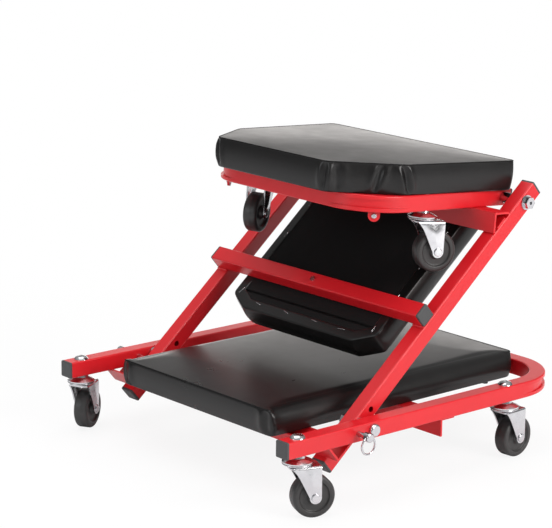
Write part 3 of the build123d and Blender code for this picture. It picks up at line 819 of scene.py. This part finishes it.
@dataclass(frozen=True)
class SoftLamp:
    """A rectangular lamp aimed at the creeper."""

    name: str
    place: tuple[float, float, float]
    size: tuple[float, float]
    power: float
    colour: tuple[float, float, float] = (1.0, 1.0, 1.0)

    def build(self) -> bpy.types.Object:
        """Make the lamp."""
        data = bpy.data.lights.new(self.name, "AREA")
        data.shape = "RECTANGLE"
        data.size, data.size_y = self.size
        data.energy = self.power
        data.color = self.colour
        lamp = bpy.data.objects.new(self.name, data)
        lamp.location = self.place
        aim = Vector(AIM) - Vector(self.place)
        lamp.rotation_euler = aim.to_track_quat("-Z", "Y").to_euler()
        bpy.context.scene.collection.objects.link(lamp)
        return lamp


@dataclass(frozen=True)
class Studio:
    """White floor that fades to a plain white ground, a graded surround and soft lamps."""

    floor_size: float = 24.0
    floor_colour: tuple[float, float, float] = (0.88, 0.88, 0.89)
    fill: float = 0.50
    mirror_low: float = 0.10
    mirror_high: float = 0.55
    fade: tuple[float, float] = (0.30, 1.05)
    lift: float = 0.88
    lamps: tuple[SoftLamp, ...] = (
        SoftLamp("key", (0.55, -2.4, 1.25), (1.3, 1.0), 50.0, (1.0, 0.98, 0.96)),
        SoftLamp("overhead", (-0.3, 0.2, 2.4), (1.9, 1.9), 30.0),
        SoftLamp("behind", (1.9, 2.15, 0.42), (2.6, 0.6), 10.5, (1.0, 0.96, 0.93)),
        SoftLamp("left", (-2.4, 0.2, 0.9), (0.9, 0.9), 9.0, (0.95, 0.98, 1.0)),
    )

    def floor(self) -> bpy.types.Object:
        """Make the floor; away from the creeper the camera sees it as plain white."""
        half = self.floor_size / 2.0
        mesh = bpy.data.meshes.new("floor")
        mesh.from_pydata([(-half, -half, 0.0), (half, -half, 0.0), (half, half, 0.0), (-half, half, 0.0)],
                         [], [(0, 1, 2, 3)])
        floor = bpy.data.objects.new("floor", mesh)
        material = bpy.data.materials.new("white_floor")
        material.use_nodes = True
        nodes = Nodes(material.node_tree)
        shader = material.node_tree.nodes["Principled BSDF"]
        shader.inputs["Base Color"].default_value = (*self.floor_colour, 1.0)
        shader.inputs["Roughness"].default_value = 0.6
        shader.inputs["Specular IOR Level"].default_value = 0.15
        place = nodes.add("ShaderNodeTexCoord").outputs["Object"]
        away = nodes.add("ShaderNodeVectorMath", {0: place}, operation="LENGTH").outputs["Value"]
        far = nodes.spread(away, *self.fade, self.lift, 1.0)
        seen = nodes.add("ShaderNodeLightPath").outputs["Is Camera Ray"]
        plain = nodes.add("ShaderNodeEmission", {"Color": (1.0, 1.0, 1.0, 1.0), "Strength": 1.0})
        mixed = nodes.add("ShaderNodeMixShader", {0: nodes.maths("MULTIPLY", far, seen),
                                                  1: shader.outputs[0], 2: plain.outputs[0]})
        out = material.node_tree.nodes["Material Output"]
        material.node_tree.links.new(mixed.outputs[0], out.inputs["Surface"])
        mesh.materials.append(material)
        bpy.context.scene.collection.objects.link(floor)
        return floor

    def surround(self) -> None:
        """Make the world: white to the camera, darker to mirrors, brighter towards the top."""
        world = bpy.data.worlds.new("studio")
        world.use_nodes = True
        bpy.context.scene.world = world
        nodes = Nodes(world.node_tree)
        back = world.node_tree.nodes["Background"]
        rays = nodes.add("ShaderNodeLightPath").outputs
        look = nodes.add("ShaderNodeTexCoord").outputs["Generated"]
        height = nodes.add("ShaderNodeSeparateXYZ", {0: look}).outputs["Z"]
        mirrored = nodes.spread(height, 0.0, 0.9, self.mirror_low, self.mirror_high)
        dim = nodes.add("ShaderNodeMix", data_type="FLOAT")
        world.node_tree.links.new(rays["Is Glossy Ray"], dim.inputs[0])
        dim.inputs["A"].default_value = self.fill
        world.node_tree.links.new(mirrored, dim.inputs["B"])
        level = nodes.maths("MAXIMUM", dim.outputs["Result"], rays["Is Camera Ray"])
        world.node_tree.links.new(level, back.inputs["Strength"])
        back.inputs["Color"].default_value = (1.0, 1.0, 1.0, 1.0)

    def build(self) -> None:
        """Make the floor, the world and the lamps."""
        self.floor()
        self.surround()
        for lamp in self.lamps:
            lamp.build()
        bpy.context.scene.view_settings.view_transform = "Standard"


# Small fittings

@dataclass
class StapleRow:
    """Staples that hold a pad's cover to the underside of its board.

    Args:
        pad: The pad whose hem they hold.
        pitch: Distance between staples along the hem.
        inset: Distance of the row in from the pad's outline.
        crown: Length of a staple's back.
        wire: Radius of its wire.
    """

    pad: Cushion
    pitch: float = 48.0
    inset: float = 13.0
    crown: float = 9.5
    wire: float = 0.42

    def build(self) -> bpy.types.Object:
        """Lay the staples along the hem, each turned a little its own way."""
        ring, normal, _, _ = self.pad.outline()
        line = ring - normal * self.inset
        run = np.concatenate([[0.0], np.cumsum(np.linalg.norm(np.diff(line, axis=0), axis=1))])
        count = int(run[-1] // self.pitch)
        chance = np.random.default_rng(7)
        spots = (np.arange(count) + 0.5) * run[-1] / count + chance.uniform(-4.0, 4.0, count)
        parts = []
        for spot in spots:
            middle = np.array([np.interp(spot, run, line[:, k]) for k in (0, 1)])
            ahead = np.array([np.interp(spot + 1.0, run, line[:, k]) for k in (0, 1)]) - middle
            ahead /= max(float(np.linalg.norm(ahead)), 1e-9)
            lean = chance.normal(0.0, 0.12)
            ahead = np.array([ahead[0] * math.cos(lean) - ahead[1] * math.sin(lean),
                              ahead[0] * math.sin(lean) + ahead[1] * math.cos(lean)])
            share = np.array([-0.5, -0.5, -0.47, -0.42, 0.0, 0.42, 0.47, 0.5, 0.5]) * self.crown
            rise = np.array([1.0, 0.2, -0.1, -0.25, -0.2, -0.25, -0.1, 0.2, 1.0])
            local = np.concatenate([middle + share[:, None] * ahead, rise[:, None]], axis=1)
            parts.append(swept_tube(self.pad.placed(local), self.wire * MM, sides=6, up=(0.3, 0.4, 0.87)))
        points, faces = joined(parts)
        piece = make_object(f"{self.pad.name}_staples", points, faces, self.pad.body.value, ZINC.material())
        return piece


@dataclass
class WeldSet:
    """Painted weld beads on one frame: each a rippled bead laid along a seam.

    Args:
        name: Name of the piece.
        body: Body that carries the beads.
        plane: Plane of the seams.
        seams: Start and end of each bead.
        radius: Size of a bead.
        ripple: Distance between the bead's ripples.
    """

    name: str
    body: Body
    plane: LocalPlane
    seams: list[tuple[tuple[float, float, float], tuple[float, float, float]]]
    radius: float = 1.7
    ripple: float = 2.1

    def build(self) -> bpy.types.Object:
        """Sweep each bead: its radius is r (1 + 0.13 |cos(pi s / ripple)|), smaller at both ends."""
        parts = []
        chance = np.random.default_rng(11)
        for start, stop in self.seams:
            a, b = np.array(start, float), np.array(stop, float)
            length = float(np.linalg.norm(b - a))
            share = np.linspace(0.0, 1.0, max(10, int(length / 0.45)))
            wobble = chance.normal(0.0, 0.22, (6, 3))
            drift = np.stack([np.interp(share, np.linspace(0, 1, 6), wobble[:, k]) for k in range(3)], axis=1)
            path = a + (b - a) * share[:, None] + drift * np.sin(np.pi * share)[:, None]
            size = self.radius * (1 + 0.13 * np.abs(np.cos(np.pi * share * length / self.ripple)))
            size *= 0.45 + 0.55 * smooth_step(np.minimum(share, 1 - share) * length, 0.0, 3.0)
            parts.append(swept_tube(self.plane.out(path), size * MM, sides=8, up=(0.31, 0.17, 0.93)))
        points, faces = joined(parts)
        piece = make_object(self.name, points, faces, self.body.value, RED_COAT.material())
        return piece


FORK_COLUMNS = 15    # points across a fork's sheet
WHEEL_STEPS = 96     # points round a wheel


@dataclass
class Caster:
    """One swivel caster's pressed fork and moulded wheel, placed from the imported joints.

    Args:
        name: Ending of the caster's names.
        trail: Distance from the stem to the axle, level.
        drop: Distance from the rail's underside to the axle.
        top: Distance from the rail's underside to the fork's top plate.
        half: Half of the fork's width.
        wall: Thickness of its sheet.
        nose: Reach of the top plate ahead of the stem.
        tail: Reach of the top plate behind the stem.
        eye: Radius of the round end at the axle.
        bend: Radius of the sheet's bends.
        fold: Height of the crease pressed in each leg.
        race_top: Distance from the rail's underside to the race's lip.
        race_radius: Outside of the race.
        wheel_radius: Outside of the wheel.
        wheel_half: Half of the tyre's width.
    """

    name: str
    trail: float = 18.0
    drop: float = 48.5
    top: float = 11.5
    half: float = 13.0
    wall: float = 1.8
    nose: float = 12.0
    tail: float = 25.0
    eye: float = 7.0
    bend: float = 2.6
    fold: float = 1.5
    race_top: float = 8.3
    race_radius: float = 17.5
    wheel_radius: float = 25.0
    wheel_half: float = 9.0

    def axes(self) -> tuple[Array, Array, Array, Array]:
        """Return the stem's place and the trail, axle and stem directions."""
        stem, up = joint(f"caster_{self.name}_swivel")
        wheel, _ = joint(f"caster_{self.name}_wheel")
        trail = wheel - stem
        trail -= np.dot(trail, up) * up
        trail /= np.linalg.norm(trail)
        return stem, trail, np.cross(up, trail), up

    def place(self, local: Array) -> Array:
        """Turn points along the trail, the axle and the stem into the row's frame."""
        stem, trail, axle, up = self.axes()
        return stem + MM * (local[..., 0:1] * trail + local[..., 1:2] * axle + local[..., 2:3] * up)

    def fork(self) -> bpy.types.Object:
        """Bend a sheet over the wheel, with a crease pressed down the middle of each leg.

        The sheet's section runs up one leg, round a bend, over the top and down the other leg. At each
        height the sheet reaches from a front line to a rear line, which close round the axle as
        sqrt(r^2 - h^2).
        """
        turn = np.linspace(0.0, math.pi / 2.0, 6)
        low = -self.drop - self.eye
        legs = np.concatenate([np.linspace(low + 0.02, -self.drop, 12)[:-1],
                               np.linspace(-self.drop, -self.top - self.bend, 12)])
        y = np.concatenate([np.full(len(legs), -self.half),
                            -self.half + self.bend * (1 - np.cos(turn[1:])), ])
        z = np.concatenate([legs, -self.top - self.bend + self.bend * np.sin(turn[1:])])
        y, z = np.concatenate([y, -y[::-1]]), np.concatenate([z, z[::-1]])
        level = np.clip(z, -self.drop, -self.top)
        share = (level + self.drop) / (self.drop - self.top)
        below = np.clip(-self.drop - z, 0.0, None)
        round_end = np.sqrt(np.clip(self.eye ** 2 - below ** 2, 0.0, None))
        swing = 0.80 * share + 0.20 * share ** 7
        front = self.trail - round_end + (-self.nose - self.trail + self.eye) * swing
        rear = self.trail + round_end + (self.tail - self.trail - self.eye) * share
        across = np.linspace(0.0, 1.0, FORK_COLUMNS)
        x = front[:, None] + (rear - front)[:, None] * across[None]
        fading = smooth_step(share, 0.05, 0.35)[:, None]
        crease = self.fold * (1.0 - np.abs(2.0 * across[None] - 1.0)) * fading
        crease = crease * (1.0 - smooth_step(share, 0.62, 0.97))[:, None]
        local = np.stack([x, y[:, None] + np.sign(y)[:, None] * crease,
                          np.repeat(z[:, None], FORK_COLUMNS, axis=1)], axis=-1)
        points, faces = self.place(local), grid_faces(len(y), FORK_COLUMNS)
        piece = make_object(f"fork_{self.name}", points, faces, f"caster_{self.name}_swivel", ZINC.material())
        thick = piece.modifiers.new("sheet", "SOLIDIFY")
        thick.thickness = self.wall * MM
        thick.offset = self.sheet_side(points, faces)
        rim = piece.modifiers.new("rim", "BEVEL")
        rim.width, rim.segments, rim.limit_method = 0.35 * MM, 2, "ANGLE"
        return piece

    def sheet_side(self, points: Array, faces: Array) -> float:
        """Return the Solidify offset that puts the sheet's thickness on the wheel's side."""
        flat = points.reshape(-1, 3)
        top = faces[len(faces) // 2]
        up = np.cross(flat[top[1]] - flat[top[0]], flat[top[2]] - flat[top[0]])
        return -1.0 if np.dot(up, self.axes()[3]) > 0 else 1.0

    def race(self) -> bpy.types.Object:
        """Turn the fork's race dish: a shallow cup with a rolled lip."""
        r, h = self.race_radius, -self.race_top
        lip = [(r - 0.9 + 0.9 * math.cos(a), h - 0.9 + 0.9 * math.sin(a))
               for a in np.linspace(math.pi / 2, -math.pi / 2, 7)]
        profile = np.array([(4.4, h), (9.0, h), *lip, (r - 2.5, h - 2.0), (r - 4.2, -self.top - 0.05),
                            (4.4, -self.top - 0.05), (4.4, h)])
        stem, trail, _, up = self.axes()
        points, faces = revolved(profile, stem, up, trail)
        piece = make_object(f"race_{self.name}", points, faces, f"caster_{self.name}_swivel", ZINC.material())
        return piece

    def wheel(self) -> bpy.types.Object:
        """Turn the wheel: hub boss, dished web, rounded tyre with a faint mould line."""
        r, w = self.wheel_radius, self.wheel_half
        shoulder = [(r - 3.4 + 3.4 * math.sin(a), w - 3.4 + 3.4 * math.cos(a))
                    for a in np.linspace(0.0, math.pi / 2 * 0.94, 8)]
        half = [(3.05, 0.0), (3.05, 10.2), (3.3, 10.4), (7.2, 10.4), (7.8, 9.9), (8.3, 7.6), (9.0, 6.9),
                (10.0, 6.7), (16.4, 6.7), (17.3, 7.0), (17.9, 8.3), (18.3, 8.85), (19.0, 9.0), *shoulder,
                (r - 0.05, 0.6), (r + 0.0, 0.35)]
        profile = np.array([*half, *[(a, -b) for a, b in half[:0:-1]]])
        place, axis = joint(f"caster_{self.name}_wheel")
        points, _ = revolved(profile, place, axis, np.array([0.0, 0.0, 1.0]) + 0.01 * axis, steps=WHEEL_STEPS)
        faces = grid_faces(WHEEL_STEPS, len(profile), wrap_rows=True, wrap_columns=True)
        piece = make_object(f"wheel_{self.name}", points, faces, f"caster_{self.name}_wheel", TYRE.material())
        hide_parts(f"caster_wheel_{self.name}")
        return piece

    def build(self) -> None:
        """Build the fork with its race, and the wheel."""
        fork = self.fork()
        self.race()
        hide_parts(f"caster_fork_{self.name}")
        self.wheel()


# The creeper

@dataclass
class Upholstery:
    """The three pads."""

    lower: Cushion = field(default_factory=lambda: Cushion(
        "lower_pad", ("lower_cushion", "lower_pad_board"), Body.LOWER, LOWER_PLANE,
        [(36.0, 141.0, 8.0), (439.0, 141.0, 14.0)], 34.0, edge=(2.5, 13.0), lift=-10.0,
        gathers=[(133.0, 4.5, 4.0, 0.0)]))
    middle: Cushion = field(default_factory=lambda: Cushion(
        "middle_pad", ("middle_cushion", "middle_pad_board"), Body.MIDDLE, MIDDLE_PLANE,
        [(94.0, 100.0, 8.0), (112.0, 134.0, 10.0), (333.0, 134.0, 12.0)], 34.0, edge=(4.0, 9.0), facing=-1,
        lift=10.0, step=3.2))
    head: Cushion = field(default_factory=lambda: Cushion(
        "head_pad", ("head_cushion", "head_pad_board"), Body.HEAD, HEAD_PLANE,
        [(-247.0, 99.0, 16.0), (-168.0, 152.0, 20.0), (5.0, 164.0, 7.0)], 39.0, edge=(2.5, 2.5),
        lift=10.0, step=3.0,
        gathers=[(96.0, 3.2, 4.0, 3.0), (112.0, 4.5, 2.2, -5.0), (160.0, 3.4, 3.4, 8.0),
                 (195.0, 3.2, 6.0, -12.0)]))

    def build(self) -> None:
        """Build each pad with its staples."""
        for pad in (self.lower, self.middle, self.head):
            pad.build()
            StapleRow(pad).build()


@dataclass
class Dressing:
    """Finishes for the CAD nodes that stay."""

    finishes: tuple[tuple[str, Finish], ...] = (
        ("wheel", TYRE), ("board", BOARD), ("plugs", PLUG), ("feet", FOOT), ("mount", ZINC), ("fork", ZINC),
        ("axle", ZINC), ("bolts", ZINC), ("lock_", ZINC), ("screws", ZINC))

    def build(self) -> None:
        """Give each CAD node its finish; what no word matches is painted steel."""
        for name, node in frame["nodes"].items():
            finish = next((made for word, made in self.finishes if word in name), RED_COAT)
            for holder in node.material_slots:
                holder.material = finish.material()


@dataclass
class Welds:
    """Weld beads of the three frames."""

    lower: WeldSet = field(default_factory=lambda: WeldSet(
        "lower_welds", Body.LOWER, LOWER_PLANE,
        [((x, s * 195.0, -10.3), (x, s * 209.0, -10.3)) for s in (-1, 1)
         for x in (61.2, 100.6, 239.6, 262.4)]))
    middle: WeldSet = field(default_factory=lambda: WeldSet(
        "middle_welds", Body.MIDDLE, MIDDLE_PLANE,
        [((x, s * 171.0, 10.4), (x, s * 189.0, 10.4)) for s in (-1, 1) for x in (140.4, 161.6)]
        + [((x, s * 171.0, 10.5), (x, s * 189.0, 10.5)) for s in (-1, 1) for x in (296.5, 313.5)]))
    head: WeldSet = field(default_factory=lambda: WeldSet(
        "head_welds", Body.HEAD, HEAD_PLANE,
        [((x, s * 134.0, -10.4), (x, s * 152.0, -10.4)) for s in (-1, 1) for x in (-53.0, -28.2)]))

    def build(self) -> None:
        """Lay the beads."""
        for beads in (self.lower, self.middle, self.head):
            beads.build()


@dataclass
class Casters:
    """The six casters."""

    names: tuple[str, ...] = ("front_right", "front_left", "rear_right", "rear_left", "head_right",
                              "head_left")

    def build(self) -> None:
        """Build each caster."""
        for name in self.names:
            Caster(name).build()


def main() -> None:
    """Build the scene in order."""
    PhotoCamera().build()
    Studio().build()
    Dressing().build()
    Casters().build()
    Welds().build()
    Upholstery().build()


if __name__ == "__main__":
    main()
